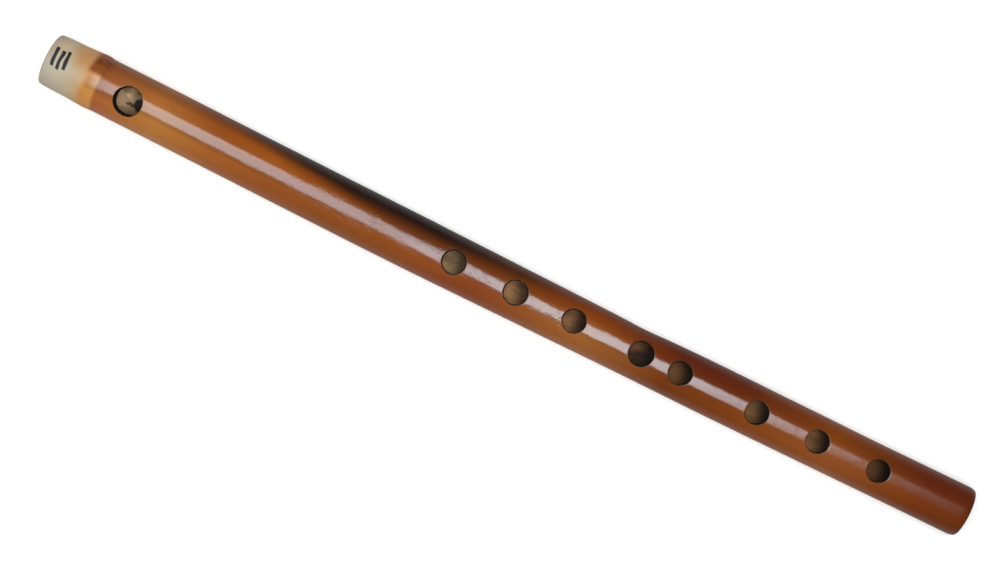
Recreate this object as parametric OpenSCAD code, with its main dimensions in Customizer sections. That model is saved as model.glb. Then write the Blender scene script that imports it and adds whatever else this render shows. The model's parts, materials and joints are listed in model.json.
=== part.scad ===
// Side-blown bamboo flute with a blow hole and eight finger holes.
//
// The tube lies along X with its holes facing up. The head end, with the
// stopper, is at -X, the open foot end is at +X, and the player stands at -Y.
// The origin is under the middle of the tube, on the surface that it lies on.
// Places along the tube are measured from the centre of the blow hole, the
// way a flute maker marks them out. Hole angles are turned round the tube
// from straight up, and are positive towards the player.
// All sizes are in millimetres and all angles in degrees.

/* [Tube] */
// Length of the tube from end to end
tube_len = 435; // [405:1:530]
// Outside diameter of the head internode, from the head node to the taper
tube_d = 24; // [20:0.1:30]
// Diameter of the bore, reamed alike along the whole tube
bore_d = 17.5; // [14:0.1:18.5]
// Outside diameter of the head end, past its node
head_d = 23.4; // [20:0.1:30]
// Outside diameter of the waist, at the middle node
waist_d = 22.2; // [20:0.1:30]
// Outside diameter of the swell below the waist
swell_d = 22.8; // [20:0.1:30]
// Outside diameter of the foot end
foot_d = 22.3; // [20:0.1:30]
// Radius of the rounding on the outer edge of both ends
rim_round = 0.9; // [0.2:0.1:2]
// Bevel on the bore's edge at both ends
bore_bevel = 0.4; // [0.1:0.1:1]

/* [Nodes of the bamboo] */
// Distance from the blow hole to the head node, towards the head end
head_node = 17; // [11:0.1:24]
// Height of the ridge round the head node
ridge_height = 0.25; // [0.1:0.05:1]
// Length of the ridge along the tube
ridge_len = 7; // [3:0.1:8]
// Distance from the blow hole to the start of the taper
taper_start = 133; // [40:0.5:190]
// Distance from the blow hole to the middle node, towards the foot
middle_node = 238.5; // [205:0.1:255]
// Distance from the middle node to the fullest part of the swell
swell_from_node = 34; // [10:0.5:60]
// Height of the ring that is left of the middle node's wall, inside the bore
septum_height = 0.5; // [0.2:0.05:1.5]
// Length of that ring along the bore
septum_len = 3; // [1.5:0.1:6]

/* [Holes] */
// Distance from the head end to the centre of the blow hole
blow_from_head = 39.5; // [36:0.1:60]
// Diameter of the blow hole
blow_d = 12.6; // [8:0.1:15.5]
// Angle by which the blow hole is turned towards the player
blow_turn = 7.4; // [-30:0.1:30]
// Distances from the blow hole to finger holes 1 to 4
upper_hole_x = [153.2, 182.2, 209.6, 241.1]; // [140:0.1:250]
// Distances from the blow hole to finger holes 5 to 8
lower_hole_x = [259.5, 295.9, 324.2, 352.7]; // [250:0.1:355]
// Diameters of finger holes 1 to 4
upper_hole_d = [10.5, 10.7, 10.3, 10.9]; // [6:0.1:13.5]
// Diameters of finger holes 5 to 8
lower_hole_d = [10.3, 10.1, 10.0, 9.9]; // [6:0.1:13.5]
// Angles by which finger holes 1 to 4, made by hand, stray round the tube
upper_hole_turn = [-1.0, -1.6, -3.3, -4.1]; // [-10:0.1:10]
// Angles by which finger holes 5 to 8, made by hand, stray round the tube
lower_hole_turn = [-3.5, 1.3, -0.4, -0.9]; // [-10:0.1:10]

/* [Stopper] */
// Distance from the blow hole to the stopper's sealed face
stopper_face = 17; // [12:0.1:19]
// Length of the cork
cork_len = 15; // [6:0.1:18]
// Bevel on the edges of the cork
cork_bevel = 0.5; // [0.1:0.1:1]
// Gap between the bore and the cork, all round
cork_clearance = 0.05; // [0.02:0.01:0.1]
// Thickness of the wax that seals the cork's inner face
wax_thickness = 0.8; // [0.3:0.1:1]

/* [Hidden] */
$fn = 96;

// The finger holes as one row, in order from the head.
hole_x = concat(upper_hole_x, lower_hole_x);
hole_d = concat(upper_hole_d, lower_hole_d);
hole_turn = concat(upper_hole_turn, lower_hole_turn);

// Places along the tube, from the centre of the blow hole.
head_x = -blow_from_head;
foot_x = head_x + tube_len;
ridge_x = -head_node - ridge_len / 2;
swell_x = middle_node + swell_from_node;
wax_x = -stopper_face - wax_thickness;
cork_x = wax_x - cork_len;

bore_r = bore_d / 2;
cork_r = bore_r - cork_clearance;
crest_r = tube_d / 2 + ridge_height;
// Height of the tube's axis: its fullest part touches the surface below.
axis_z = max(crest_r, head_d / 2, waist_d / 2, swell_d / 2, foot_d / 2);

// Steps in the curved stretches of the tube's outline.
ridge_steps = 12;
round_steps = 6;
// The most of the wall at an end that its rounding and its bevel may take.
round_share = 0.4;
bevel_share = 0.3;

// A smooth rise from 0 to 1 as t goes from 0 to 1.
function ease(t) = (1 - cos(180 * t)) / 2;

// Radius of the ridge at share t of its length: up to the crest, then down.
function ridge_r(t) =
    t < 0.5
        ? head_d / 2 + (crest_r - head_d / 2) * ease(2 * t)
        : crest_r - (crest_r - tube_d / 2) * ease(2 * t - 1);

// Quarter round on the outer edge of an end of radius r. side is 1 at the foot and -1 at the head.
function rim_outline(x, r, side) =
    let (edge = min(rim_round, round_share * (r - bore_r)))
    [
        for (i = [0 : round_steps])
            let (a = 90 * (side > 0 ? 1 - i / round_steps : i / round_steps))
            [x - side * edge * (1 - cos(a)), r - edge * (1 - sin(a))]
    ];

function end_bevel(r) = min(bore_bevel, bevel_share * (r - bore_r));

// The tube's outer outline, from head to foot, as [distance along, radius].
outer_outline = concat(
    rim_outline(head_x, head_d / 2, -1),
    [
        for (i = [0 : ridge_steps])
            [ridge_x + ridge_len * i / ridge_steps, ridge_r(i / ridge_steps)]
    ],
    [
        [taper_start, tube_d / 2],
        [middle_node, waist_d / 2],
        [swell_x, swell_d / 2]
    ],
    rim_outline(foot_x, foot_d / 2, 1)
);

// The bore's outline, from foot to head, with the ring at the middle node.
bore_outline = [
    [foot_x, bore_r + end_bevel(foot_d / 2)],
    [foot_x - end_bevel(foot_d / 2), bore_r],
    [middle_node + septum_len / 2, bore_r],
    [middle_node + septum_len / 4, bore_r - septum_height],
    [middle_node - septum_len / 4, bore_r - septum_height],
    [middle_node - septum_len / 2, bore_r],
    [head_x + end_bevel(head_d / 2), bore_r],
    [head_x, bore_r + end_bevel(head_d / 2)]
];

// Moves a piece from the maker's measures to the part's own frame.
module in_place() {
    translate([blow_from_head - tube_len / 2, 0, axis_z])
        children();
}

// Turns an outline given as [distance along, radius] round the tube's axis.
module turned(outline) {
    rotate([0, 90, 0])
        rotate_extrude()
            polygon([for (p = outline) [p[1], p[0]]]);
}

// A hole of diameter d, from the bore out through the tube's upper wall.
module wall_hole(x, d, turn) {
    translate([x, 0, 0])
        rotate([turn, 0, 0])
            cylinder(d = d, h = 2 * axis_z);
}

// The culm: one piece of bamboo, reamed, with its holes burnt through the wall.
module bamboo_tube() {
    color([0.62, 0.33, 0.14])
        in_place()
            difference() {
                turned(concat(outer_outline, bore_outline));
                wall_hole(0, blow_d, blow_turn);
                for (i = [0 : len(hole_x) - 1])
                    wall_hole(hole_x[i], hole_d[i], hole_turn[i]);
            }
}

// The cork that closes the bore on the head side of the blow hole.
module cork_stopper() {
    color([0.74, 0.56, 0.38])
        in_place()
            turned([
                [cork_x, 0],
                [cork_x, cork_r - cork_bevel],
                [cork_x + cork_bevel, cork_r],
                [wax_x - cork_bevel, cork_r],
                [wax_x, cork_r - cork_bevel],
                [wax_x, 0]
            ]);
}

// The wax poured on the cork's inner face, which makes the stopper airtight.
module wax_seal() {
    color([0.85, 0.72, 0.42])
        in_place()
            turned([
                [wax_x, 0],
                [wax_x, cork_r - cork_bevel],
                [wax_x + wax_thickness / 2, cork_r],
                [-stopper_face, cork_r - wax_thickness / 2],
                [-stopper_face, 0]
            ]);
}

bamboo_tube();
cork_stopper();
wax_seal();
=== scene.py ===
"""A side-blown bamboo flute: a lacquered culm with burnt holes, and the cork stopper inside its head."""

import functools
import json
import logging
import math
from collections.abc import Callable
from dataclasses import dataclass
from enum import Enum
from typing import TypeAlias

import bmesh
import bpy
from mathutils import Matrix, Vector, noise

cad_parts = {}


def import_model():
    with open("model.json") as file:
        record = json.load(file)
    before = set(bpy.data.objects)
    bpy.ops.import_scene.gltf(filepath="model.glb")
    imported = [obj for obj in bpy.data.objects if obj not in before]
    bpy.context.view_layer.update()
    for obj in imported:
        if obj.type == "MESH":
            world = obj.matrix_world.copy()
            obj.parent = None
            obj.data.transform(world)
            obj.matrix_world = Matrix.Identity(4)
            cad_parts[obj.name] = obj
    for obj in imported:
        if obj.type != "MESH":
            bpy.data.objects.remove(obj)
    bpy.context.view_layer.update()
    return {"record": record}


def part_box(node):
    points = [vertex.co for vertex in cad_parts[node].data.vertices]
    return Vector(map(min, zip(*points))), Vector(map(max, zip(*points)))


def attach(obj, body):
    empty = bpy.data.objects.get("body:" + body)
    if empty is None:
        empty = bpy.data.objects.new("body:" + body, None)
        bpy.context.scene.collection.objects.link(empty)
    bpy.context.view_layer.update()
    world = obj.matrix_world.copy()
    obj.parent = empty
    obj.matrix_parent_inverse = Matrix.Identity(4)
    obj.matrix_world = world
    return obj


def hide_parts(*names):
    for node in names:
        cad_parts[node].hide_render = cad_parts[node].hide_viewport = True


log = logging.getLogger("flute")

MM = 0.001

Number: TypeAlias = "Signal | float"
Socket: TypeAlias = bpy.types.NodeSocket
Material: TypeAlias = bpy.types.Material
Piece: TypeAlias = bpy.types.Object
Mesh: TypeAlias = bmesh.types.BMesh
Places: TypeAlias = tuple[tuple[float, ...], ...]


# ---------------------------------------------------------------- materials as expressions


def operator(operation: str) -> Callable:
    """Makes an operator for signals.

    Args:
        operation: the Math node's operation.

    Returns:
        A method that adds such a node.
    """
    def apply(signal: "Signal", *others: Number) -> "Signal":
        """The operation on a signal and the numbers that follow it."""
        return signal.nodes.maths(operation, signal, *others)

    return apply


class Signal:
    """A number socket that takes part in Python expressions."""

    def __init__(self, nodes: "Nodes", socket: Socket) -> None:
        """Wraps a socket.

        Args:
            nodes: the node tree that the socket belongs to.
            socket: the socket that gives the number.
        """
        self.nodes = nodes
        self.socket = socket

    __add__ = __radd__ = operator("ADD")
    __mul__ = __rmul__ = operator("MULTIPLY")
    __sub__ = operator("SUBTRACT")
    __truediv__ = operator("DIVIDE")
    __abs__ = operator("ABSOLUTE")
    most = operator("MAXIMUM")

    def __rsub__(self, other: float) -> "Signal":
        """A plain number less this one."""
        return self.nodes.maths("SUBTRACT", other, self)

    def clamped(self) -> "Signal":
        """This number kept between 0 and 1."""
        return self.nodes.maths("ADD", self, 0.0, clamp=True)

    def rise(self, start: float, end: float) -> "Signal":
        """A smooth step from 0 to 1.

        Args:
            start: where the step begins.
            end: where it ends. If it is less than start, the step falls instead.

        Returns:
            The step, from 0 to 1.
        """
        low, high = min(start, end), max(start, end)
        made = self.nodes.node(
            "ShaderNodeMapRange",
            {"interpolation_type": "SMOOTHSTEP"},
            {"Value": self, "From Min": low, "From Max": high},
        )
        step = Signal(self.nodes, made.outputs["Result"])
        return step if end >= start else 1 - step

    def band(self, start: float, end: float, soft: float) -> "Signal":
        """A window that is 1 from start to end and fades out over soft on each side."""
        return self.rise(start - soft, start) * self.rise(end + soft, end)


def tint(red: float, green: float, blue: float) -> tuple[float, float, float, float]:
    """A display colour, with each channel from 0 to 255.

    Args:
        red: its red.
        green: its green.
        blue: its blue.

    Returns:
        The colour in linear light, with an alpha of 1.
    """
    def linear(value: float) -> float:
        """One channel in linear light."""
        share = value / 255
        return share / 12.92 if share <= 0.04045 else ((share + 0.055) / 1.055) ** 2.4

    return linear(red), linear(green), linear(blue), 1.0


class Nodes:
    """A node tree, with the one method that adds its nodes."""

    def __init__(self, tree: bpy.types.NodeTree) -> None:
        """Takes a tree to add to.

        Args:
            tree: the tree.
        """
        self.tree = tree

    def node(self, kind: str, settings: dict | None = None, sockets: dict | None = None) -> bpy.types.Node:
        """Adds one node.

        Args:
            kind: the node's type.
            settings: its own settings, set first. A ramp's stops are (place, colour) pairs.
            sockets: values, signals or sockets for its inputs, by name or number.

        Returns:
            The node.
        """
        made = self.tree.nodes.new(kind)
        for name, value in (settings or {}).items():
            if name == "stops":
                self._set_stops(made.color_ramp, value)
            else:
                setattr(made, name, value)
        for name, value in (sockets or {}).items():
            self.feed(made.inputs[name], value)
        return made

    @staticmethod
    def _set_stops(ramp: bpy.types.ColorRamp, stops: list) -> None:
        """Gives a colour ramp its stops.

        Args:
            ramp: the ramp.
            stops: (place, colour) pairs in rising order.
        """
        while len(ramp.elements) < len(stops):
            ramp.elements.new(1.0)
        for element, (place, colour) in zip(ramp.elements, stops):
            element.position = place
            element.color = colour

    def feed(self, socket: Socket, value: object) -> None:
        """Links a signal or socket to an input, or sets the input's own value.

        Args:
            socket: the input.
            value: a signal, a socket or a plain value.
        """
        if isinstance(value, Signal):
            self.tree.links.new(value.socket, socket)
        elif isinstance(value, Socket):
            self.tree.links.new(value, socket)
        else:
            socket.default_value = value

    def maths(self, operation: str, *values: Number, clamp: bool = False) -> Signal:
        """Adds one Math node.

        Args:
            operation: the node's operation.
            values: its inputs, in order.
            clamp: keeps the result between 0 and 1.

        Returns:
            The result as a signal.
        """
        made = self.node(
            "ShaderNodeMath", {"operation": operation, "use_clamp": clamp}, dict(enumerate(values))
        )
        return Signal(self, made.outputs[0])


class Recipe(Nodes):
    """One material, built from nodes."""

    def __init__(self, name: str, roughness: float, **constants: float) -> None:
        """Starts the material.

        Args:
            name: the material's name.
            roughness: the surface's roughness, where nothing varies it.
            constants: other shader sockets, with _ for each space in their names.
        """
        self.material = bpy.data.materials.new(name)
        self.material.use_nodes = True
        super().__init__(self.material.node_tree)
        self.shader = self.tree.nodes["Principled BSDF"]
        self.shader.inputs["Roughness"].default_value = roughness
        for socket, value in constants.items():
            self.shader.inputs[socket.replace("_", " ")].default_value = value

    def place(self) -> Socket:
        """The point on the piece, in metres."""
        return self.node("ShaderNodeTexCoord").outputs["Object"]

    def stretched(self, along: float, across: float) -> Socket:
        """The point scaled for a pattern that runs along the tube.

        Args:
            along: cells in a metre along the tube.
            across: cells in a metre across it.

        Returns:
            The scaled point.
        """
        made = self.node(
            "ShaderNodeMapping", None, {"Vector": self.place(), "Scale": (along, across, across)}
        )
        return made.outputs["Vector"]

    def cloud(self, along: float, across: float, detail: float = 3.0, rough: float = 0.5) -> Signal:
        """Smooth noise around 0.5.

        Args:
            along: cells in a metre along the tube.
            across: cells in a metre across it.
            detail: how many finer layers it has.
            rough: how strong those layers are.

        Returns:
            The noise.
        """
        made = self.node(
            "ShaderNodeTexNoise",
            None,
            {"Vector": self.stretched(along, across), "Scale": 1.0, "Detail": detail, "Roughness": rough},
        )
        return Signal(self, made.outputs["Fac"])

    def cells(self, along: float, across: float) -> Signal:
        """Distance to the nearest of many scattered points.

        Args:
            along: cells in a metre along the tube.
            across: cells in a metre across it.

        Returns:
            The distance, in cells.
        """
        made = self.node(
            "ShaderNodeTexVoronoi", None, {"Vector": self.stretched(along, across), "Scale": 1.0}
        )
        return Signal(self, made.outputs["Distance"])

    def attribute(self, name: str) -> Signal:
        """A number that the mesh carries at each point."""
        return Signal(self, self.node("ShaderNodeAttribute", {"attribute_name": name}).outputs["Fac"])

    def mix(self, factor: Number, first: object, second: object) -> Socket:
        """Mixes two colours.

        Args:
            factor: how much of the second colour is used.
            first: a colour, or the socket of one.
            second: a colour, or the socket of one.

        Returns:
            The mixed colour's socket.
        """
        made = self.node("ShaderNodeMix", {"data_type": "RGBA"}, {0: factor, 6: first, 7: second})
        return made.outputs[2]

    def shade(self, colour: object, amount: Signal) -> Socket:
        """Lightens or darkens a colour: an amount of 1 leaves it, 0.8 darkens it by a fifth."""
        made = self.node("ShaderNodeVectorMath", {"operation": "SCALE"}, {0: colour, "Scale": amount})
        return made.outputs[0]

    def bump(self, height: Signal, depth: float, below: object = None) -> Socket:
        """A bump, over another bump or none.

        Args:
            height: the height, as a share of the depth.
            depth: the depth, in metres.
            below: the bump that this one lies on.

        Returns:
            The normal's socket.
        """
        sockets = {"Height": height, "Distance": depth, "Strength": 1.0}
        if below is not None:
            sockets["Normal"] = below
        return self.node("ShaderNodeBump", None, sockets).outputs["Normal"]

    def finish(self, **sockets: object) -> Material:
        """Feeds the shader's sockets, with _ for each space in their names.

        Args:
            sockets: values, signals or sockets for the shader's inputs.

        Returns:
            The material.
        """
        for name, value in sockets.items():
            self.feed(self.shader.inputs[name.replace("_", " ")], value)
        return self.material


# ---------------------------------------------------------------- places along the tube


# Radii of the blow hole and of finger holes 1 to 8, in millimetres.
HOLE_RADII = (6.3, 5.25, 5.35, 5.15, 5.45, 5.15, 5.05, 5.0, 4.95)


@dataclass(frozen=True)
class Hole:
    """One hole burnt through the upper wall.

    Attributes:
        x: its place along the tube.
        turn: how far it is turned from straight up, in radians, positive towards +Y.
        radius: its radius.
    """

    x: float
    turn: float
    radius: float


@dataclass(frozen=True)
class Layout:
    """The places that the other classes share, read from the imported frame.

    Attributes:
        head: the head end's x.
        foot: the open foot end's x.
        axis_z: height of the tube's axis.
        bore: radius of the bore.
        body: radius of the head internode.
        face: x of the stopper's sealed face.
        cork_back: x of the cork's outer face.
        cork_front: x where the cork meets the wax.
        cork: radius of the cork.
        holes: the blow hole and then the finger holes.
    """

    head: float
    foot: float
    axis_z: float
    bore: float
    body: float
    face: float
    cork_back: float
    cork_front: float
    cork: float
    holes: tuple[Hole, ...]

    @property
    def length(self) -> float:
        """The tube's length."""
        return self.foot - self.head

    @staticmethod
    def read(record: dict) -> "Layout":
        """Reads the layout from the frame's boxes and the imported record.

        Args:
            record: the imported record.

        Returns:
            The layout.
        """
        mounts = {m["name"]: m for m in record["mounts"]}
        bore = mounts["foot_bore"]["dims"]["r_mm"] * MM
        body = mounts["clip_seat"]["dims"]["r_mm"] * MM
        low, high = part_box("bamboo_tube")
        cork_low, cork_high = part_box("cork_stopper")
        wax_low, wax_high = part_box("wax_seal")
        boxes = {o["name"]: o["box_m"] for o in record["physics"]["openings"]}
        holes = []
        for number, radius in enumerate(HOLE_RADII):
            (x0, y0, _), (x1, y1, _) = boxes[f"finger_hole_{number}" if number else "blow_hole"]
            turn = math.asin((y0 + y1) / (bore + body))
            holes.append(Hole((x0 + x1) / 2, turn, radius * MM))
        return Layout(
            head=low.x, foot=high.x, axis_z=(low.z + high.z) / 2, bore=bore, body=body,
            face=wax_high.x, cork_back=cork_low.x, cork_front=wax_low.x,
            cork=(cork_high.z - cork_low.z) / 2, holes=tuple(holes),
        )


def bell(x: float, middle: float, reach: float) -> float:
    """A bell curve: 1 in its middle, and 0.37 at its reach on each side."""
    return math.exp(-(((x - middle) / reach) ** 2))


def eased(share: float) -> float:
    """A smooth rise from 0 to 1 as share goes from 0 to 1, flat outside."""
    t = min(1.0, max(0.0, share))
    return t * t * (3 - 2 * t)


def along_stops(x: float, stops: Places) -> float:
    """Straight lines through (place, value) stops, flat past both ends.

    Args:
        x: the place to read.
        stops: (place, value) pairs in rising order.

    Returns:
        The value there.
    """
    if x <= stops[0][0]:
        return stops[0][1]
    for (x0, v0), (x1, v1) in zip(stops, stops[1:]):
        if x <= x1:
            return v0 + (v1 - v0) * (x - x0) / (x1 - x0)
    return stops[-1][1]


def softened(x: float, stops: Places, reach: float, samples: int = 9) -> float:
    """The same stops with their corners rounded, by a mean over reach on each side."""
    steps = [x + reach * (2 * i / (samples - 1) - 1) for i in range(samples)]
    return sum(along_stops(s, stops) for s in steps) / samples


# ---------------------------------------------------------------- pieces


class Surface(Enum):
    """The kinds of surface on the culm, in the order of its material slots."""

    SKIN = 0
    BORE = 1
    HOLE_WALL = 2
    CUT_END = 3


def to_object(bm: Mesh, name: str, materials: list[Material]) -> Piece:
    """Turns a bmesh into a smooth-shaded object at the origin.

    Args:
        bm: the mesh, which is freed.
        name: the piece's name.
        materials: its materials, in slot order.

    Returns:
        The object.
    """
    mesh = bpy.data.meshes.new(name)
    bm.to_mesh(mesh)
    bm.free()
    mesh.shade_smooth()
    for material in materials:
        mesh.materials.append(material)
    made = bpy.data.objects.new(name, mesh)
    bpy.context.scene.collection.objects.link(made)
    log.info("%s: %d faces", name, len(mesh.polygons))
    return made


@dataclass
class Culm:
    """The tube: one length of bamboo, reamed, with its holes burnt through.

    Attributes:
        layout: the shared places.
        columns: steps along the tube.
        rows: steps round it.
        margin: how far the rings of faces round a hole reach past its edge.
        ring_cuts: cuts between a hole's edge and the grid.
        wall_cuts: cuts down a hole's wall.
        scar: x of the sheath scar at the head node.
        scar_width: width of the scar's groove.
        scar_depth: depth of that groove.
        ridge: x of the head node's crest.
        ridge_reach: how far the crest spreads to each side.
        ridge_height: height of the crest over the outline.
        shoulder: x of the node's shoulders, on its head side.
        shoulder_reach: how far they spread to each side.
        shoulder_height: their height, on both flanks.
        node: x of the middle node.
        node_reach: how far the filing of the middle node spreads to each side.
        node_depth: depth of that filing, on the far flank.
        ring_reach: half the length of the ring left of its wall in the bore.
        ring_height: height of that ring.
        head_draw: how far the head end draws in.
        head_draw_reach: how fast that fades along the tube.
        foot_round: how far the foot end is rounded in.
        foot_round_reach: how far along the tube that rounding goes.
        scar_wander: how far the scar strays along the tube.
        lumps: height of the growth's lumps.
        lump_length: their length along the tube.
        lip: rounding of a hole's outer edge.
        crust: thickness of the char at a hole's inner edge.
        unevenness: how far a hole strays from a circle, as a share of its radius.
        floor_light_spread: moves the middle of the painted light and shade on each hole's floor outwards,
            as a share of a hole's x.
        outline: (x, radius) places of the culm, in mm.
        bow: (x, shift towards +Y) places of the culm, in mm.
        straight: how far the bore stays straight past the stopper.
        bend_reach: how far it then takes to follow the culm's bow.
    """

    layout: Layout
    columns: int = 348
    rows: int = 96
    margin: float = 3.0 * MM
    ring_cuts: int = 4
    wall_cuts: int = 3
    scar: float = -192.5 * MM
    scar_width: float = 0.6 * MM
    scar_depth: float = 0.05 * MM
    ridge: float = -195.5 * MM
    ridge_reach: float = 2.8 * MM
    ridge_height: float = 0.28 * MM
    shoulder: float = -199 * MM
    shoulder_reach: float = 5.5 * MM
    shoulder_height: float = 0.30 * MM
    node: float = 60.5 * MM
    node_reach: float = 9 * MM
    node_depth: float = 0.28 * MM
    ring_reach: float = 2.4 * MM
    ring_height: float = 0.5 * MM
    head_draw: float = 0.40 * MM
    head_draw_reach: float = 2 * MM
    foot_round: float = 0.85 * MM
    foot_round_reach: float = 3.4 * MM
    scar_wander: float = 0.25 * MM
    lumps: float = 0.05 * MM
    lump_length: float = 26 * MM
    lip: float = 0.28 * MM
    crust: float = 0.30 * MM
    unevenness: float = 0.010
    floor_light_spread: float = 1.02
    outline: Places = (
        (-217.5, 11.7), (-198.5, 11.75), (-191.5, 12.0), (-45.0, 12.0), (60.5, 11.08), (92.0, 11.36),
        (130.0, 11.25), (180.0, 11.05), (217.5, 11.1))
    bow: Places = (
        (-217.5, 0.62), (-150.0, 0.18), (-110.0, -0.2), (-50.0, -0.6), (60.0, -0.62), (95.0, -0.22),
        (140.0, 0.04), (180.0, 0.38), (217.5, 0.95))
    straight: float = 8 * MM
    bend_reach: float = 60 * MM

    def _flat_sheet(self) -> Mesh:
        """The tube's skin unrolled: x along the tube and y round it, both in metres.

        Returns:
            The sheet, as a mesh of its own.
        """
        bm = bmesh.new()
        size = self.layout
        spread = Matrix.Diagonal((size.length / 2, math.pi * size.body, 1, 1))
        middle = Matrix.Translation(((size.head + size.foot) / 2, 0, 0))
        bmesh.ops.create_grid(
            bm, x_segments=self.columns, y_segments=self.rows, size=1.0, matrix=middle @ spread
        )
        return bm

    def _reach(self, hole: Hole) -> tuple[float, float]:
        """How far the rings round a hole reach: along the tube, and round it as an angle."""
        widest = math.asin(hole.radius / self.layout.bore)
        return hole.radius + self.margin, widest + self.margin / self.layout.body

    def _open_hole(self, bm: Mesh, hole: Hole) -> None:
        """Cuts a hole in the flat sheet, with rings of faces from its edge out to the grid.

        Args:
            bm: the flat sheet.
            hole: the hole to cut.
        """
        body = self.layout.body
        centre = Vector((hole.x, hole.turn * body, 0))
        half_x, half_turn = self._reach(hole)
        taken = set()
        for face in bm.faces:
            away = face.calc_center_median() - centre
            if abs(away.x) < half_x and abs(away.y) < half_turn * body:
                taken.add(face)
        border = [e for e in {e for f in taken for e in f.edges} if not taken.issuperset(e.link_faces)]
        bmesh.ops.delete(bm, geom=list(taken), context="FACES")
        pulled = bmesh.ops.extrude_edge_only(bm, edges=border)["geom"]
        rim = {g for g in pulled if isinstance(g, bmesh.types.BMVert)}
        for vert in rim:
            swing = math.atan2(vert.co.y - centre.y, vert.co.x - centre.x)
            lobes = math.sin(2 * swing + 900 * hole.x) + 0.6 * math.sin(3 * swing + 2100 * hole.x)
            radius = hole.radius * (1 + self.unevenness * lobes)
            across = body * math.asin(radius * math.sin(swing) / body)
            vert.co = centre + Vector((radius * math.cos(swing), across, 0))
        spokes = [e for v in rim for e in v.link_edges if e.other_vert(v) not in rim]
        bmesh.ops.subdivide_edges(bm, edges=spokes, cuts=self.ring_cuts, use_grid_fill=True)

    def _cut_fine_lines(self, bm: Mesh) -> None:
        """Adds fine lines of vertices at the head node and the foot end, where the outline turns fast.

        Args:
            bm: the flat sheet.
        """
        places = [self.scar + step * self.scar_width / 2 for step in range(-18, 5)]
        places += [self.layout.foot - back * MM for back in (1.0, 1.5, 2.0, 3.0)]
        for place in places:
            geometry = bm.verts[:] + bm.edges[:] + bm.faces[:]
            bmesh.ops.bisect_plane(
                bm, geom=geometry, dist=0.02 * MM, plane_no=(1, 0, 0), plane_co=(place, 0, 0)
            )

    def _wrap(self, bm: Mesh) -> None:
        """Rolls the sheet up round the tube's axis and closes it along the bottom.

        Args:
            bm: the flat sheet.
        """
        body = self.layout.body
        for vert in bm.verts:
            angle = vert.co.y / body
            vert.co = Vector((vert.co.x, body * math.sin(angle), body * math.cos(angle)))
        bmesh.ops.remove_doubles(bm, verts=bm.verts, dist=0.001 * MM)

    def _thicken(self, bm: Mesh) -> None:
        """Gives the skin its wall: a copy for the bore, joined at the ends and through each hole.

        Args:
            bm: the rolled-up skin.
        """
        geometry = bm.faces[:] + bm.edges[:] + bm.verts[:]
        copied = bmesh.ops.extrude_face_region(bm, geom=geometry, use_keep_orig=True)["geom"]
        inner = {g for g in copied if isinstance(g, bmesh.types.BMVert)}
        for face in bm.faces:
            count = sum(v in inner for v in face.verts)
            if count == 0:
                face.material_index = Surface.SKIN.value
            elif count == len(face.verts):
                face.material_index = Surface.BORE.value
            else:
                at_end = min(abs(face.verts[0].co.x - end) for end in (self.layout.head, self.layout.foot))
                face.material_index = (Surface.CUT_END if at_end < MM else Surface.HOLE_WALL).value
        for vert in bm.verts:
            x, angle = vert.co.x, math.atan2(vert.co.y, vert.co.z)
            radius = self._bore_radius(x) if vert in inner else self._skin_radius(x, angle)
            turned = self._stretched_turn(x, angle, radius)
            shift = self._bow(x, vert in inner)
            vert.co = Vector((x, radius * math.sin(turned) + shift, radius * math.cos(turned)))
        bmesh.ops.translate(bm, verts=bm.verts, vec=(0, 0, self.layout.axis_z))
        self._taper_walls(inner)
        bmesh.ops.recalc_face_normals(bm, faces=bm.faces)

    def _taper_walls(self, inner: set) -> None:
        """Draws each hole's inner edge in a little, by an uneven crust of char that the hot iron left.

        Args:
            inner: the bore's vertices.
        """
        wall = Surface.HOLE_WALL.value
        edge = [v for v in inner if any(f.material_index == wall for f in v.link_faces)]
        for vert in edge:
            hole = min(self.layout.holes, key=lambda h: abs(h.x - vert.co.x))
            axis = Vector((0, math.sin(hole.turn), math.cos(hole.turn)))
            foot = Vector((hole.x, self._bow(hole.x, True), self.layout.axis_z))
            if abs(vert.co.x - hole.x) > 2 * hole.radius:
                continue
            out = vert.co - foot
            out -= axis * out.dot(axis)
            crust = self.crust * (1 + 0.4 * noise.noise(vert.co / MM * 0.7))
            if hole is self.layout.holes[0]:
                lean = out.normalized().dot(Vector((-0.55, -0.83, 0)))
                patchy = 1 + 0.4 * noise.noise(vert.co / MM * 0.9)
                crust += 2.5 * self.crust * eased(1.4 * lean) * patchy
            vert.co -= out.normalized() * crust

    def _stretched_turn(self, x: float, angle: float, radius: float) -> float:
        """Where a point's angle goes on a shell of another radius, so that each hole stays a true circle.

        Args:
            x: the point's place along the tube.
            angle: its angle on the flat sheet's roll.
            radius: its shell's radius there.

        Returns:
            Its new angle.
        """
        for hole in self.layout.holes:
            half_turn = self._reach(hole)[1]
            away_x, away = x - hole.x, angle - hole.turn
            if abs(away_x) >= hole.radius or abs(away) >= half_turn:
                continue
            edge = math.sqrt(hole.radius**2 - away_x**2)
            flat = math.asin(edge / self.layout.body)
            curved = math.asin(min(edge / radius, 0.999))
            if abs(away) <= flat:
                moved = abs(away) * curved / flat
            else:
                moved = curved + (abs(away) - flat) * (half_turn - curved) / (half_turn - flat)
            return hole.turn + math.copysign(moved, away)
        return angle

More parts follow.
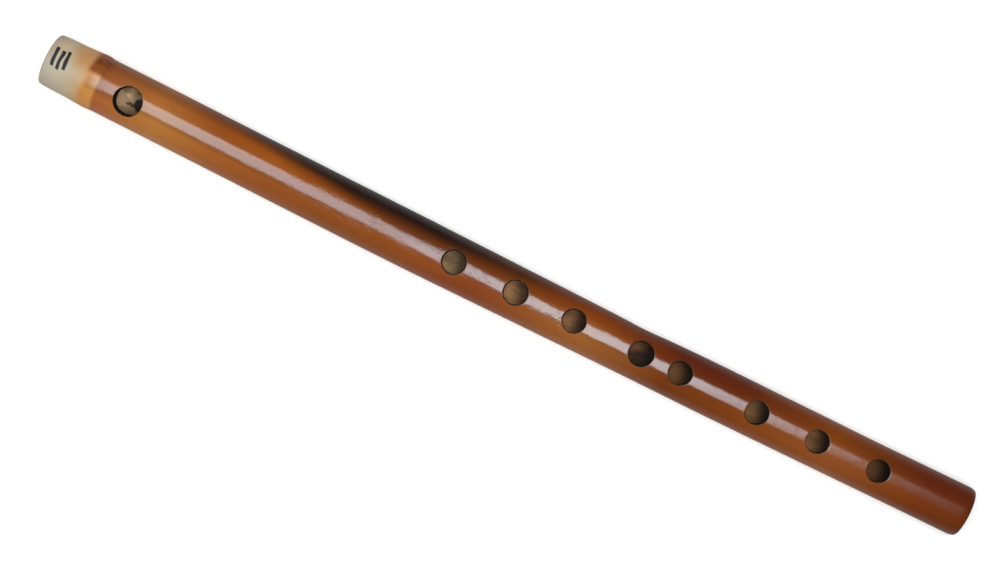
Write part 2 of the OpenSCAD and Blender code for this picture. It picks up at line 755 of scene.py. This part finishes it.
    def _skin_radius(self, x: float, angle: float) -> float:
        """Outer radius: the culm's outline, the head node's ridge and scar, and its growth's unevenness.

        Args:
            x: the place along the tube.
            angle: the angle round it.

        Returns:
            The radius.
        """
        up, side = math.cos(angle), math.sin(angle)
        radius = softened(x / MM, self.outline, 7.0) * MM
        radius += (self.ridge_height + 0.08 * MM * side) * bell(x, self.ridge, self.ridge_reach)
        radius += self.shoulder_height * abs(side) * bell(x, self.shoulder, self.shoulder_reach)
        radius -= self.head_draw * math.exp((self.layout.head - x) / self.head_draw_reach)
        radius -= self.foot_round * max(0.0, 1 - (self.layout.foot - x) / self.foot_round_reach) ** 2
        wander = self.scar_wander * noise.noise(Vector((3.0, 2 * up, 2 * side)))
        radius -= self.scar_depth * bell(x, self.scar + wander, 0.9 * self.scar_width)
        radius -= self.node_depth * eased((side - 0.35) / 0.5) * bell(x, self.node, self.node_reach)
        swell = 1 + 1.6 * bell(x, self.ridge, 12 * MM)
        lump = noise.noise(Vector((x / self.lump_length, 1.3 * up, 1.3 * side)))
        return radius + self.lumps * swell * lump

    def _bore_radius(self, x: float) -> float:
        """Inner radius: the reamed bore, with the ring that is left of the middle node's wall."""
        ring = max(0.0, 1 - abs(x - self.node) / self.ring_reach)
        return self.layout.bore - self.ring_height * eased(1.6 * ring)

    def _bow(self, x: float, inner: bool) -> float:
        """How far the grown culm bends to +Y. The bore stays straight where the stopper slides.

        Args:
            x: the place along the tube.
            inner: whether the point is in the bore.

        Returns:
            The shift.
        """
        bend = softened(x / MM, self.bow, 22.0) * MM
        share = eased((x - self.layout.face - self.straight) / self.bend_reach)
        return bend * share if inner else bend

    def _edges_between(self, bm: Mesh, first: Surface, second: Surface) -> list:
        """The edges where two kinds of surface meet."""
        kinds = {first.value, second.value}
        return [e for e in bm.edges if {f.material_index for f in e.link_faces} == kinds]

    def _soften_edges(self, bm: Mesh) -> None:
        """Splits the hole walls into rings, then rounds every edge as the maker's file and fire leave it.

        Args:
            bm: the tube with its wall.
        """
        walls = {f for f in bm.faces if f.material_index == Surface.HOLE_WALL.value}
        upright = [e for e in {e for f in walls for e in f.edges} if walls.issuperset(e.link_faces)]
        bmesh.ops.subdivide_edges(bm, edges=upright, cuts=self.wall_cuts, use_grid_fill=True)
        rounds = [
            (Surface.SKIN, Surface.HOLE_WALL, self.lip, 3),
            (Surface.BORE, Surface.HOLE_WALL, 0.15 * MM, 2),
            (Surface.SKIN, Surface.CUT_END, 0.85 * MM, 6),
            (Surface.BORE, Surface.CUT_END, 0.4 * MM, 3),
        ]
        for first, second, offset, segments in rounds:
            bmesh.ops.bevel(
                bm, geom=self._edges_between(bm, first, second), offset=offset, offset_type="OFFSET",
                segments=segments, profile=0.5, affect="EDGES", clamp_overlap=True, material=-1,
            )
        ends = [f for f in bm.faces if f.material_index == Surface.CUT_END.value and abs(f.normal.x) > 0.99]
        bmesh.ops.inset_region(bm, faces=ends, thickness=0.08 * MM, use_boundary=True, use_even_offset=True)

    def _mark_rims(self, bm: Mesh) -> None:
        """Stores two measures at each point, which the finishes read.

        rim_gap is its distance from the nearest hole's edge, in millimetres. soot_lean says which side of
        that hole it lies under: up to 1.2 on the foot side and down to -1.2. The bore's finish paints
        light and shade on each hole's floor from it.

        Args:
            bm: the finished tube.
        """
        gap = bm.verts.layers.float.new("rim_gap")
        lean = bm.verts.layers.float.new("soot_lean")
        for vert in bm.verts:
            hole = min(self.layout.holes, key=lambda h: abs(h.x - vert.co.x))
            up = vert.co.z - self.layout.axis_z
            bend = self._bow(hole.x, False)
            across = (vert.co.y - bend) * math.cos(hole.turn) - up * math.sin(hole.turn)
            away = math.hypot(vert.co.x - hole.x, across) - hole.radius
            vert[gap] = away / MM if up > 0 else 30.0
            along = vert.co.x - hole.x * self.floor_light_spread
            over = vert.co.y - bend - self.layout.body * math.sin(hole.turn)
            slant = (0.85 * along + 0.35 * over) / hole.radius
            vert[lean] = min(1.2, max(-1.2, slant))

    def build(self, materials: list[Material]) -> Piece:
        """Builds the culm.

        Args:
            materials: one for each kind of Surface, in order.

        Returns:
            The culm, riding on the tube's body in place of its plain solid.
        """
        bm = self._flat_sheet()
        for hole in self.layout.holes:
            self._open_hole(bm, hole)
        self._cut_fine_lines(bm)
        self._wrap(bm)
        self._thicken(bm)
        self._soften_edges(bm)
        self._mark_rims(bm)
        culm = to_object(bm, "bamboo_culm", materials)
        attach(culm, "tube")
        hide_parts("bamboo_tube")
        return culm


@dataclass
class Stopper:
    """The cork that closes the head of the bore, and the wax poured on its inner face.

    Attributes:
        layout: the shared places.
        steps: steps round each piece.
        rings: steps from the middle of a face to its edge.
        corner: steps in a rounded edge.
        cork_lines: steps along the cork's side.
        cork_round: rounding of the cork's edges.
        pit_depth: depth of the pits in the cork.
        wax_lines: steps along the wax's side.
        wax_round: rounding of the wax's edges.
        dish_depth: depth of the dish in the wax.
    """

    layout: Layout
    steps: int = 96
    rings: int = 16
    corner: int = 5
    cork_lines: int = 26
    cork_round: float = 0.5 * MM
    pit_depth: float = 0.35 * MM
    wax_lines: int = 3
    wax_round: float = 0.25 * MM
    dish_depth: float = 0.16 * MM

    def _turned(self, outline: list[tuple]) -> Mesh:
        """Spins an outline of (x, radius) points round the tube's axis into a closed solid.

        Args:
            outline: the points, from the axis out and back to it.

        Returns:
            The solid.
        """
        bm = bmesh.new()
        axis = Vector((0, 0, self.layout.axis_z))
        verts = [bm.verts.new(axis + Vector((x, 0, radius))) for x, radius in outline]
        edges = [bm.edges.new(pair) for pair in zip(verts, verts[1:])]
        bmesh.ops.spin(
            bm, geom=verts + edges, cent=axis, axis=(1, 0, 0), angle=2 * math.pi, steps=self.steps,
            use_merge=True, use_duplicate=False,
        )
        bmesh.ops.remove_doubles(bm, verts=bm.verts, dist=0.005 * MM)
        bmesh.ops.recalc_face_normals(bm, faces=bm.faces)
        return bm

    def _disc_outline(self, back: float, front: float, edge: float, lines: int) -> list[tuple]:
        """The outline of a disc with rounded edges, from the middle of its back to that of its front.

        Args:
            back: x of its back.
            front: x of its front.
            edge: its edges' rounding.
            lines: steps along its side.

        Returns:
            The (x, radius) points.
        """
        radius = self.layout.cork
        flat = radius - edge
        outline = [(back, flat * i / self.rings) for i in range(self.rings)]
        corner = [math.pi / 2 * i / self.corner for i in range(self.corner + 1)]
        outline += [(back + edge * (1 - math.cos(a)), flat + edge * math.sin(a)) for a in corner]
        side = front - back - 2 * edge
        outline += [(back + edge + side * i / lines, radius) for i in range(1, lines)]
        outline += [(front - edge * (1 - math.cos(a)), flat + edge * math.sin(a)) for a in reversed(corner)]
        outline += [(front, flat * i / self.rings) for i in range(self.rings - 1, -1, -1)]
        return outline

    def _cork(self, material: Material) -> Piece:
        """The cork, with the pits that cork bark always has.

        Args:
            material: its material.

        Returns:
            The cork.
        """
        size = self.layout
        outline = self._disc_outline(size.cork_back, size.cork_front, self.cork_round, self.cork_lines)
        bm = self._turned(outline)
        bm.normal_update()
        for vert in bm.verts:
            place = vert.co / MM
            if vert.co.x > size.cork_front - 0.3 * MM:
                continue
            grain = noise.noise(place * 0.9) + 0.5 * noise.noise(place * 2.3)
            pit = eased((grain - 0.42) / 0.25)
            rough = 0.04 * MM * (1 + noise.noise(place * 3.1))
            vert.co -= vert.normal * (self.pit_depth * pit + rough)
        return self._place(to_object(bm, "stopper_cork", [material]), "cork_stopper", "cork")

    def _wax(self, material: Material) -> Piece:
        """The wax, which set with a shallow dish in its middle and faint ripples.

        Args:
            material: its material.

        Returns:
            The wax.
        """
        size = self.layout
        bm = self._turned(self._disc_outline(size.cork_front, size.face, self.wax_round, self.wax_lines))
        for vert in bm.verts:
            if vert.co.x < size.face - 0.3 * MM:
                continue
            out = math.hypot(vert.co.y, vert.co.z - size.axis_z) / size.cork
            ripple = noise.noise(vert.co / MM * 0.5) + 0.4 * noise.noise(vert.co / MM * 1.4)
            vert.co.x -= self.dish_depth * (1 - out**2)
            vert.co.x -= 0.05 * MM * (1 + ripple) * eased(2 - 2 * out)
        return self._place(to_object(bm, "stopper_wax", [material]), "wax_seal", "beeswax")

    @staticmethod
    def _place(piece: Piece, node: str, slot: str) -> Piece:
        """Lets a piece ride on the stopper's body.

        Args:
            piece: the piece.
            node: the plain solid that it stands in for.
            slot: the finish's name; not used.

        Returns:
            The piece.
        """
        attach(piece, "stopper")
        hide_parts(node)
        return piece

    def build(self, cork: Material, wax: Material) -> list[Piece]:
        """Builds both pieces with their materials and returns them."""
        return [self._cork(cork), self._wax(wax)]


# ---------------------------------------------------------------- finishes


class TubeRecipe(Recipe):
    """A material that knows where each point lies on the tube."""

    def __init__(self, name: str, roughness: float, layout: Layout, **constants: float) -> None:
        """Sets x, y and z, the point in mm with its height taken from the tube's axis, and side.

        side goes from -1 on the near flank to 1 on the far flank.

        Args:
            name: the material's name.
            roughness: as in Recipe.
            layout: the shared places.
            constants: as in Recipe.
        """
        super().__init__(name, roughness, **constants)
        self.layout = layout
        point = self.node("ShaderNodeSeparateXYZ", None, {0: self.place()})
        self.x, self.y, z = (Signal(self, point.outputs[axis]) * (1 / MM) for axis in "XYZ")
        self.z = z - layout.axis_z / MM
        self.side = self.y / (layout.body / MM)

    def ramp(self, x: Signal, places: list) -> Socket:
        """A colour ramp along the tube.

        Args:
            x: the place along the tube, in mm.
            places: (x in mm, red, green, blue) stops, from head to foot.

        Returns:
            The colour's socket.
        """
        head, length = self.layout.head, self.layout.length
        stops = [((place * MM - head) / length, tint(*colour)) for place, *colour in places]
        share = (x - head / MM) / (length / MM)
        return self.node("ShaderNodeValToRGB", {"stops": stops}, {"Fac": share}).outputs["Color"]


@dataclass(frozen=True)
class LacqueredSkin:
    """The culm's outside: browned over a fire and lacquered, with its head end left bare.

    Attributes:
        layout: the shared places.
        scar: x of the sheath scar, in mm.
        bare: x where the lacquer ends, in mm.
        stain: x of the middle of each end of the smoke stain, in mm.
        worn: the stretch where the lacquer is pitted, in mm.
        strokes: the tally's ink strokes, as (x, near end, far end) in mm and a lean.
        half_width: half the width of a stroke, in mm.
    """

    layout: Layout
    scar: float = -192.5
    bare: float = -199.0
    stain: tuple[float, float] = (-100.0, 8.0)
    worn: tuple[float, float] = (-80.0, 20.0)
    strokes: Places = ((-213.8, -1.6, 6.8, 0.10), (-211.0, -2.2, 6.2, 0.06), (-208.3, -1.2, 7.0, 0.12))
    half_width: float = 0.6

    def _browned(self, recipe: TubeRecipe) -> Socket:
        """The fire's browning: warm near the head, deeper towards the foot, and darker on the far flank;
        painted shade darkens the top of the tube under the highlight.

        Args:
            recipe: the material being built.

        Returns:
            The colour's socket.
        """
        x, side = recipe.x, recipe.side
        far = recipe.ramp(x, [
            (-193, 153, 82, 39), (-165, 171, 99, 43), (-138, 148, 73, 21),
            (-110, 156, 78, 18), (-60, 146, 68, 16), (0, 142, 66, 14),
            (40, 137, 61, 11), (60, 117, 49, 8), (80, 101, 35, 8), (110, 98, 36, 8),
            (154, 127, 60, 12), (195, 96, 34, 8), (217, 92, 33, 7)])
        near = recipe.ramp(x, [
            (-193, 165, 88, 42), (-165, 181, 113, 50), (-138, 160, 88, 35),
            (-112, 148, 77, 29), (-62, 140, 71, 24), (-12, 139, 65, 26),
            (39, 157, 91, 40), (60, 139, 74, 30), (78, 119, 53, 11),
            (110, 127, 60, 15), (154, 147, 77, 30), (195, 118, 50, 9),
            (217, 108, 45, 9)])
        colour = recipe.mix(side.rise(-0.2, 0.48), near, far)
        edge = side.rise(0.45, 0.85) * x.rise(120, 60) * 0.32
        # Painted shade: the top of the tube is darkened where the highlight lies along it.
        painted_crown_shade = side.band(-0.24, 0.02, 0.12) * x.rise(100, 50) * 0.22
        return recipe.shade(colour, (1 - edge) * (1 - painted_crown_shade))

    def _smoked(self, recipe: TubeRecipe, colour: object) -> Socket:
        """The black smoke stain on the far flank of the head internode.

        Args:
            recipe: the material being built.
            colour: the colour so far.

        Returns:
            The new colour's socket.
        """
        x, side = recipe.x, recipe.side
        wander = recipe.cloud(16, 40, 3) - 0.5
        first, last = self.stain
        start = (x + (side - 0.5) * 70 + wander * 50).rise(first - 32, first + 32)
        end = (x + wander * 50).rise(last + 50, last - 50)
        where = start * end
        broad = 1 - where * side.rise(-0.15, 0.15) * 0.46
        deep = where * (side + wander * 0.15).rise(0.12, 0.70)
        browned = recipe.shade(colour, broad * (1 - deep * 0.75))
        return recipe.mix(deep * deep * 0.58, browned, tint(18, 10, 8))

    def _head_end(self, recipe: TubeRecipe, colour: object) -> Socket:
        """The bare head end: cream, with amber up to the sheath scar and a dark far shoulder; painted shade
        darkens the amber under the highlight.

        Args:
            recipe: the material being built.
            colour: the colour so far.

        Returns:
            The new colour's socket.
        """
        x, side = recipe.x, recipe.side
        wander = recipe.cloud(120, 120, 3) - 0.5
        blotch = recipe.cloud(90, 130, 4, 0.6)
        edge = x + wander * 3.4
        scorch = recipe.cloud(110, 190, 2, 0.5)
        shoulder = (side + wander * 0.3).rise(0.2, 0.42) * (x + wander * 3).band(-196.8, -192.0, 3.0)
        browned = recipe.mix(scorch.rise(0.35, 0.65), tint(138, 70, 22), tint(96, 46, 16))
        colour = recipe.mix(shoulder * 0.8, colour, browned)
        amber = recipe.mix(blotch, tint(214, 146, 72), tint(190, 120, 54))
        # Painted shade: the amber is darkened where the highlight crosses it.
        painted_crown_shade = side.band(-0.22, 0.02, 0.16) * x.rise(-200.5, -195.5)
        amber = recipe.shade(amber, 1 - painted_crown_shade * 0.22)
        past_scar = x.rise(self.scar + 1, self.scar - 0.9)
        colour = recipe.mix(past_scar * side.rise(0.40, 0.18), colour, amber)
        near = recipe.ramp(edge, [
            (-215, 186, 168, 145), (-208, 187, 168, 140), (-205, 189, 162, 131),
            (-202, 194, 160, 119), (-198.7, 198, 150, 98)])
        far = recipe.ramp(edge, [
            (-216, 178, 152, 123), (-211, 194, 166, 136), (-207.5, 184, 156, 116),
            (-204.5, 188, 138, 86), (-198.7, 194, 136, 77)])
        cream = recipe.mix(side.rise(-0.05, 0.5), near, far)
        cream = recipe.shade(cream, blotch * 0.4 + 0.8)
        return recipe.mix(edge.rise(self.bare + 1.7, self.bare - 1.3), colour, cream)

    def _tally(self, recipe: TubeRecipe) -> Signal:
        """Three plain ink strokes across the head end, a maker's count.

        Args:
            recipe: the material being built.

        Returns:
            The ink, from 0 to 1.
        """
        wobble = (recipe.cloud(150, 150, 1) - 0.5) * 1.6
        across = recipe.maths("ARCTAN2", recipe.y, recipe.z) * (self.layout.body / MM)
        marks = []
        for middle, low, high, lean in self.strokes:
            line = abs(recipe.x - middle + across * lean + wobble)
            marks.append(line.rise(self.half_width + 0.35, self.half_width) * across.band(low, high, 0.5))
        return functools.reduce(Signal.most, marks)

    def build(self) -> Material:
        """Builds the skin's material.

        Returns:
            The material.
        """
        recipe = TubeRecipe("lacquered_skin", 0.2, self.layout, IOR=1.5)
        x = recipe.x
        gap = recipe.attribute("rim_gap")

        colour = self._browned(recipe)
        mottle = recipe.cloud(16, 70, 4, 0.55)
        fibre = recipe.cloud(9, 1100, 2, 0.6)
        colour = recipe.shade(colour, (mottle * 0.5 + 0.75) * (fibre * 0.24 + 0.88))
        colour = self._smoked(recipe, colour)
        colour = self._head_end(recipe, colour)
        waver = (recipe.cloud(60, 160, 1) - 0.5) * 0.6
        line = (x + waver).band(self.scar - 0.1, self.scar + 0.2, 0.45)
        colour = recipe.mix(line * 0.18, colour, tint(110, 58, 26))
        ink = self._tally(recipe)
        colour = recipe.mix(ink, colour, tint(22, 20, 20))
        burnt = (gap + (recipe.cloud(700, 700, 2) - 0.5) * 0.5).rise(0.45, 0.10)
        colour = recipe.mix(burnt * 0.9, colour, tint(22, 11, 5))
        end = x.rise(self.layout.foot / MM - 1, self.layout.foot / MM - 0.2)
        colour = recipe.mix(end * 0.8, colour, tint(34, 20, 14))

        bare = x.rise(self.bare + 1.5, self.bare - 1.5)
        peel = recipe.cloud(260, 420, 3, 0.55) * (x.band(-90, 20, 70) * 0.5 + 0.5)
        pitted = x.band(*self.worn, 40) * recipe.cloud(60, 260, 2).rise(0.45, 0.60)
        pits = recipe.cells(1000, 1700).rise(0.42, 0.12) * pitted
        fading = x.rise(-186, -197) * 0.19
        rough = bare * 0.22 + fading + 0.17 + (mottle - 0.5) * 0.10 + burnt * 0.65 + ink * 0.1
        low = recipe.bump(fibre, 0.012 * MM)
        middle = recipe.bump(peel, 0.10 * MM, low)
        normal = recipe.bump(1 - pits, 0.05 * MM, middle)
        return recipe.finish(Base_Color=colour, Roughness=rough.clamped(), Normal=normal)


@dataclass(frozen=True)
class ReamedBore:
    """The bore: scraped bamboo, pale at the head and brown towards the foot, streaked by the reamer, with
    painted light and shade on the floor under each hole.

    Attributes:
        layout: the shared places.
        node: x of the middle node, in mm.
    """

    layout: Layout
    node: float = 60.5

    def _under_blow_hole(self, recipe: TubeRecipe, colour: object, smudge: Signal) -> Socket:
        """The marks on the bore's floor under the blow hole: a painted pool of light on its far side, char
        by its foot side, and a brown scorch.

        Args:
            recipe: the material being built.
            colour: the colour so far.
            smudge: noise that ruffles the marks.

        Returns:
            The new colour's socket.
        """
        hole = self.layout.holes[0]
        along = recipe.x - hole.x / MM + 3.6 + (smudge - 0.5) * 5
        across = recipe.y - self.layout.body / MM * math.sin(hole.turn) + (smudge - 0.5) * 6

        def patch(at: tuple[float, float], reach: tuple[float, float]) -> Signal:
            """One mark: 1 in its middle, and 0 from its reach outwards.

            Args:
                at: its middle, in mm from the hole's.
                reach: how far it reaches each way, in mm.

            Returns:
                The mark.
            """
            far = abs(along - at[0]) * (1 / reach[0])
            wide = abs(across - at[1]) * (1 / reach[1])
            return (far * far + wide * wide).rise(1.0, 0.45)

        # Painted light: a pool of light on the floor's far side, under the blow hole.
        colour = recipe.shade(colour, patch((1.4, 3.8), (4.6, 3.4)) * 0.8 + 1)
        colour = recipe.mix(patch((-2.8, 4.3), (2.6, 1.8)) * 0.5, colour, tint(104, 66, 46))
        colour = recipe.mix(patch((0.6, -4.4), (4.6, 2.4)) * 0.45, colour, tint(96, 74, 46))
        colour = recipe.mix(patch((1.6, -0.9), (2.6, 1.2)) * 0.85, colour, tint(58, 42, 24))
        return recipe.mix(patch((5.0, 0.6), (2.7, 3.8)) * 0.95, colour, tint(24, 13, 8))

    def build(self) -> Material:
        """Builds the bore's material.

        Returns:
            The material.
        """
        recipe = TubeRecipe("reamed_bore", 0.65, self.layout, Specular_IOR_Level=0.15)
        x = recipe.x
        gap = recipe.attribute("rim_gap")
        lean = recipe.attribute("soot_lean")
        wood = recipe.ramp(x, [
            (-178, 180, 144, 106), (-87, 150, 118, 84), (-25, 152, 118, 82),
            (4, 154, 108, 70), (32, 136, 92, 56), (50, 100, 62, 34), (63, 76, 46, 24),
            (82, 98, 62, 33), (118, 108, 74, 40), (146, 114, 74, 43),
            (175, 78, 46, 22), (217, 98, 62, 34)])
        streak = recipe.cloud(14, 900, 3, 0.6)
        smudge = recipe.cloud(90, 190, 4, 0.6)
        colour = recipe.shade(wood, streak * 0.5 + 0.75)
        colour = recipe.mix(smudge.rise(0.5, 0.66) * 0.4, colour, tint(62, 42, 28))
        at_node = x.band(self.node - 2, self.node + 7, 4)
        grooves = recipe.cloud(12, 700, 2, 0.7).rise(0.42, 0.58)
        # Painted light on the floor under the hole by the middle node: lighter where light comes in through
        # the hole, with the dark grooves thinned there.
        lit = at_node * (recipe.y * 0.2 - lean * 0.6 + (smudge - 0.5) * 0.5).rise(0.0, 0.6)
        colour = recipe.mix(at_node * (grooves * 0.55 + 0.3) * (1 - lit * 0.6), colour, tint(40, 26, 18))
        colour = recipe.shade(colour, lit * 1.3 + 1)
        # Painted light and shade on the floor under each hole: lighter on its head side, darker on its foot
        # side, more strongly past x = 68 mm.
        colour = recipe.shade(colour, 1.95 - (lean + (smudge - 0.5) * 0.6).rise(-0.9, 0.7) * 1.62)
        colour = recipe.shade(colour, 1 - lean * x.rise(68, 84) * 0.5)
        colour = self._under_blow_hole(recipe, colour, smudge)
        soot = (gap + (smudge - 0.5) * 3).rise(0.9, 0.0)
        colour = recipe.mix(soot * 0.85, colour, tint(20, 14, 11))
        normal = recipe.bump(streak, 0.04 * MM)
        return recipe.finish(Base_Color=colour, Normal=normal)


@dataclass(frozen=True)
class BurntWall:
    """The walls of the holes: charred by the hot iron, with bare bamboo where it was filed again."""

    def build(self) -> Material:
        """Builds the hole walls' material.

        Returns:
            The material.
        """
        recipe = Recipe("burnt_wall", 0.8, Specular_IOR_Level=0.15)
        patch = recipe.cloud(260, 330, 3, 0.6)
        crust = recipe.cloud(1300, 1300, 3, 0.6)
        char = recipe.mix(crust, tint(14, 10, 9), tint(44, 28, 20))
        filed = recipe.mix(crust, tint(112, 78, 50), tint(140, 104, 70))
        colour = recipe.mix(patch.rise(0.56, 0.70) * 0.7, char, filed)
        return recipe.finish(Base_Color=colour, Normal=recipe.bump(crust, 0.06 * MM))


@dataclass(frozen=True)
class CutEnd:
    """The sawn ends: pale fibre with the dark dots of its vessels, closer together towards the skin.

    Attributes:
        layout: the shared places.
    """

    layout: Layout

    def build(self) -> Material:
        """Builds the cut ends' material.

        Returns:
            The material.
        """
        recipe = TubeRecipe("cut_end", 0.55, self.layout)
        out = recipe.maths("SQRT", recipe.y * recipe.y + recipe.z * recipe.z)
        dots = recipe.cells(200, 1500).rise(0.42, 0.2)
        wide = recipe.cells(200, 900).rise(0.36, 0.18)
        rind = out.rise(9.6, 11.4)
        vessels = (dots * rind).most(wide * (1 - rind))
        stain = recipe.cloud(150, 220, 3, 0.6)
        foot = recipe.x.rise(0, 100)
        pale = recipe.mix(stain, tint(206, 186, 146), tint(184, 158, 116))
        brown = recipe.mix(stain, tint(128, 86, 50), tint(92, 56, 32))
        colour = recipe.mix(foot, pale, brown)
        colour = recipe.mix(vessels * 0.7, colour, tint(74, 46, 28))
        colour = recipe.mix(out.rise(10.9, 11.6) * 0.6, colour, tint(82, 48, 26))
        return recipe.finish(Base_Color=colour, Normal=recipe.bump(1 - vessels, 0.05 * MM))


@dataclass(frozen=True)
class CorkBark:
    """Natural cork, with brown lenticels."""

    def build(self) -> Material:
        """Builds the cork's material.

        Returns:
            The material.
        """
        recipe = Recipe("cork_bark", 0.8)
        body = recipe.cloud(300, 300, 4, 0.6)
        grains = recipe.cells(900, 900)
        lenticel = recipe.cloud(260, 620, 3, 0.65).rise(0.58, 0.68)
        colour = recipe.mix(body, tint(168, 120, 76), tint(208, 164, 116))
        colour = recipe.mix(grains.rise(0.55, 0.8) * 0.35, colour, tint(138, 92, 56))
        colour = recipe.mix(lenticel * 0.8, colour, tint(74, 44, 26))
        height = body * 0.5 - lenticel + grains * 0.3
        return recipe.finish(Base_Color=colour, Normal=recipe.bump(height, 0.12 * MM))


@dataclass(frozen=True)
class PouredWax:
    """Beeswax, darker where dust has settled."""

    def build(self) -> Material:
        """Builds the wax's material.

        Returns:
            The material.
        """
        recipe = Recipe("poured_wax", 0.4, Subsurface_Weight=0.25, Subsurface_Scale=0.002)
        cloudy = recipe.cloud(240, 240, 4, 0.6)
        dust = recipe.cloud(1400, 1400, 2).rise(0.62, 0.7)
        colour = recipe.mix(cloudy, tint(196, 150, 84), tint(226, 190, 124))
        colour = recipe.mix(dust * 0.4, colour, tint(120, 86, 50))
        rough = cloudy * 0.25 + 0.3
        return recipe.finish(Base_Color=colour, Roughness=rough, Normal=recipe.bump(cloudy, 0.06 * MM))


# ---------------------------------------------------------------- studio


@dataclass(frozen=True)
class Softbox:
    """One rectangular light that faces down and that the camera doesn't see.

    Attributes:
        name: the light's name.
        centre: where it hangs.
        size: its extent along X and Y before it is turned.
        watts: its power.
        turn: its turn about the upright axis, in degrees.
        daylight: its colour.
    """

    name: str
    centre: tuple[float, float, float]
    size: tuple[float, float]
    watts: float
    turn: float = -4.0
    daylight: tuple[float, float, float] = (0.82, 0.92, 1.0)

    def build(self) -> None:
        """Hangs the light."""
        data = bpy.data.lights.new(self.name, "AREA")
        data.shape = "RECTANGLE"
        data.size, data.size_y = self.size
        data.energy = self.watts
        data.color = self.daylight
        light = bpy.data.objects.new(self.name, data)
        light.location = self.centre
        light.rotation_euler = (0, 0, math.radians(self.turn))
        light.visible_camera = False
        bpy.context.scene.collection.objects.link(light)


@dataclass(frozen=True)
class Studio:
    """A white table under two long softboxes, seen from straight above.

    Attributes:
        layout: the shared places.
        roll: the tube's slope across the camera's view, down to the right, in degrees.
        lens: focal length, in mm.
        sensor: width of the camera's sensor, in mm.
        distance: from the camera to the tube's axis.
        aim: the point below the camera.
        above: brightness of the room overhead.
        below: its brightness below the horizon.
        softboxes: the lights.
    """

    layout: Layout
    roll: float = 26.48
    lens: float = 85.0
    sensor: float = 36.0
    distance: float = 1.006
    aim: tuple[float, float] = (-2.55 * MM, -1.5 * MM)
    above: float = 0.10
    below: float = 0.36
    softboxes: tuple[Softbox, ...] = (
        Softbox("long_softbox", (-0.11, -0.01, 1.25), (0.90, 0.92), 17.4),
        Softbox("middle_softbox", (0.088, -0.03, 1.24), (0.285, 0.86), 3.1),
    )

    def _camera(self) -> None:
        """The camera, looking straight down."""
        data = bpy.data.cameras.new("overhead_camera")
        data.lens, data.sensor_width = self.lens, self.sensor
        camera = bpy.data.objects.new("overhead_camera", data)
        camera.location = (*self.aim, self.layout.axis_z + self.distance)
        camera.rotation_euler = (0, 0, math.radians(self.roll))
        bpy.context.scene.collection.objects.link(camera)
        bpy.context.scene.camera = camera

    def _table(self) -> None:
        """The white surface that the flute lies on."""
        bm = bmesh.new()
        bmesh.ops.create_grid(bm, x_segments=1, y_segments=1, size=2.5)
        recipe = Recipe("white_table", 0.9, Emission_Strength=0.30)
        paper = recipe.cloud(9, 9, 2)
        white = recipe.mix(paper, tint(250, 243, 236), tint(252, 246, 240))
        table = to_object(bm, "white_table", [recipe.finish(Base_Color=white, Emission_Color=white)])
        table.visible_glossy = False

    def _surroundings(self) -> None:
        """A plain room, dim overhead and paler below the table's height."""
        world = bpy.data.worlds.new("pale_room")
        world.use_nodes = True
        nodes = Nodes(world.node_tree)
        direction = nodes.node("ShaderNodeTexCoord").outputs["Generated"]
        height = nodes.node("ShaderNodeSeparateXYZ", None, {0: direction}).outputs["Z"]
        fade = nodes.node(
            "ShaderNodeMapRange",
            {"interpolation_type": "SMOOTHSTEP"},
            {"Value": height, "From Min": -0.45, "From Max": 0.05,
             "To Min": self.below, "To Max": self.above},
        )
        background = world.node_tree.nodes["Background"]
        nodes.feed(background.inputs["Color"], (1.0, 0.98, 0.97, 1.0))
        nodes.feed(background.inputs["Strength"], fade.outputs["Result"])
        bpy.context.scene.world = world

    def build(self) -> None:
        """Sets up the table, lights, room and camera."""
        self._table()
        for softbox in self.softboxes:
            softbox.build()
        self._surroundings()
        self._camera()
        bpy.context.scene.view_settings.view_transform = "Standard"


def main() -> None:
    """Loads the frame, builds each piece round it and sets the studio."""
    logging.basicConfig(level=logging.INFO)
    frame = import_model()
    layout = Layout.read(frame["record"])
    finishes = [LacqueredSkin(layout), ReamedBore(layout), BurntWall(), CutEnd(layout)]
    Culm(layout).build([finish.build() for finish in finishes])
    Stopper(layout).build(CorkBark().build(), PouredWax().build())
    Studio(layout).build()


if __name__ == "__main__":
    main()
